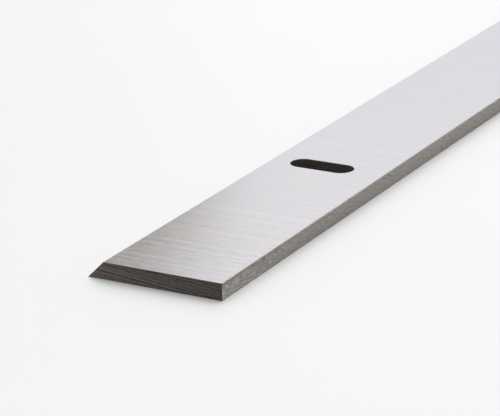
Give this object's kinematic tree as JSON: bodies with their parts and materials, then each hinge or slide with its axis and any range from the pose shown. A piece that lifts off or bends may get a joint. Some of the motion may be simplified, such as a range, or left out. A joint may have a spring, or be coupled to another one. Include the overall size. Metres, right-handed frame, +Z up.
{
  "type": "planer knife",
  "caption": "Flat steel planer knife: a ground bar with a 45 degree cutting bevel along its edge and adjusting slots across its width near its ends.",
  "frame": {"origin": "middle of the flat underside", "axes": "+X along the knife's length, +Y across it towards the cutting edge, +Z up from the underside through its thickness"},
  "size_m": [0.26, 0.025, 0.003],
  "materials": {
    "ground_steel": "hardened tool steel, ground across the width on its faces and along the length on its back edge"
  },
  "bodies": {
    "root": {"planer_knife": "ground_steel"}
  },
  "joints": []
}
